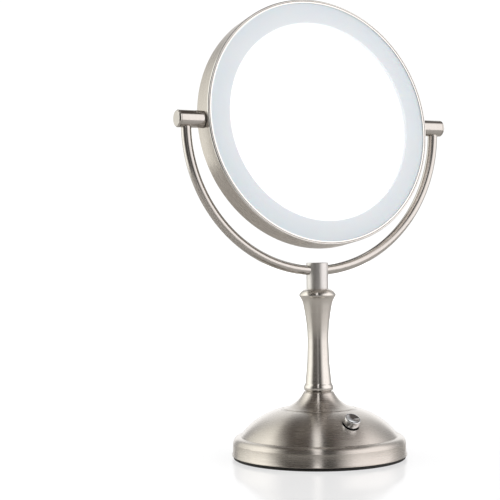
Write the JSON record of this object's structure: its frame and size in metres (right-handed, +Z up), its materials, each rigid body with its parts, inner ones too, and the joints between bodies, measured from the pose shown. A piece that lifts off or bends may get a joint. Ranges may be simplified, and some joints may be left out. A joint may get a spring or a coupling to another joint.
{
  "type": "lighted vanity mirror",
  "caption": "Round two-faced make-up mirror with frosted light rings, hung in a half-ring yoke on a turned stem and domed round base with a push button.",
  "frame": {"origin": "middle of the base on the surface it stands on", "axes": "+Z up; the mirror faces -Y, leaning back; X runs along the pivot line"},
  "size_m": [0.232, 0.1332, 0.3495],
  "materials": {
    "satin_nickel": "satin brushed nickel",
    "bright_nickel": "polished nickel",
    "frosted_plastic": "frosted, lit from behind",
    "mirror_glass": "silvered glass",
    "pad_foam": "closed-cell foam",
    "white_plastic": "moulded",
    "white_board": "white solder mask",
    "lamp": "phosphor",
    "zinc_steel": "zinc plated",
    "black_plastic": "moulded",
    "steel": "machined",
    "lead_sleeve": "PVC",
    "nylon": "moulded",
    "iron": "as cast",
    "black_rubber": "matt",
    "cell_wrap": "plain printed sleeve, no text",
    "circuit_board": "solder mask"
  },
  "bodies": {
    "stand": {"base_shell": "satin_nickel", "right_barrel": "satin_nickel", "left_barrel": "satin_nickel", "right_barrel_cap": "satin_nickel", "left_barrel_cap": "satin_nickel", "pivot_bushes": "nylon", "spring_washers": "steel", "yoke_tube": "satin_nickel", "collar": "satin_nickel", "tie_rod": "zinc_steel", "stem": "satin_nickel", "rod_washer": "zinc_steel", "rod_nut": "zinc_steel", "ballast": "iron", "bottom_plate": "black_plastic", "plate_screws": "zinc_steel", "foot_ring": "black_rubber", "battery_box": "black_plastic", "battery_cells": "cell_wrap", "battery_contacts": "zinc_steel", "battery_cover": "black_plastic", "cover_screws": "zinc_steel", "dc_inlet": "black_plastic", "driver_board": "circuit_board", "driver_parts": "black_plastic", "button_guide": "black_plastic", "switch_body": "black_plastic", "stand_leads": "lead_sleeve"},
    "head": {"frame_band": "satin_nickel", "front_bezel": "bright_nickel", "rear_bezel": "bright_nickel", "front_light_ring": "frosted_plastic", "rear_light_ring": "frosted_plastic", "front_mirror": "mirror_glass", "rear_mirror": "mirror_glass", "front_mirror_pad": "pad_foam", "rear_mirror_pad": "pad_foam", "head_core": "white_plastic", "lamp_board": "white_board", "front_lamps": "lamp", "rear_lamps": "lamp", "board_screws": "zinc_steel", "right_pivot_block": "black_plastic", "left_pivot_block": "black_plastic", "right_stud": "steel", "left_stud": "steel", "stop_washer": "zinc_steel", "plain_washer": "zinc_steel", "stud_nuts": "zinc_steel", "head_leads": "lead_sleeve"},
    "button": {"button_cap": "bright_nickel", "button_plunger": "nylon"}
  },
  "joints": [
    {"name": "head_tilt", "type": "hinge", "parent": "stand", "child": "head", "pos_m": [0, 0, 0.2542], "axis": [1, 0, 0], "range_deg": [-60, 240]},
    {"name": "button_press", "type": "slide", "parent": "stand", "child": "button", "axis": [0, 0.5407, -0.8412], "range_m": [0, 0.0012], "stiffness_N_per_m": 1500, "springref_m": -0.0008}
  ]
}
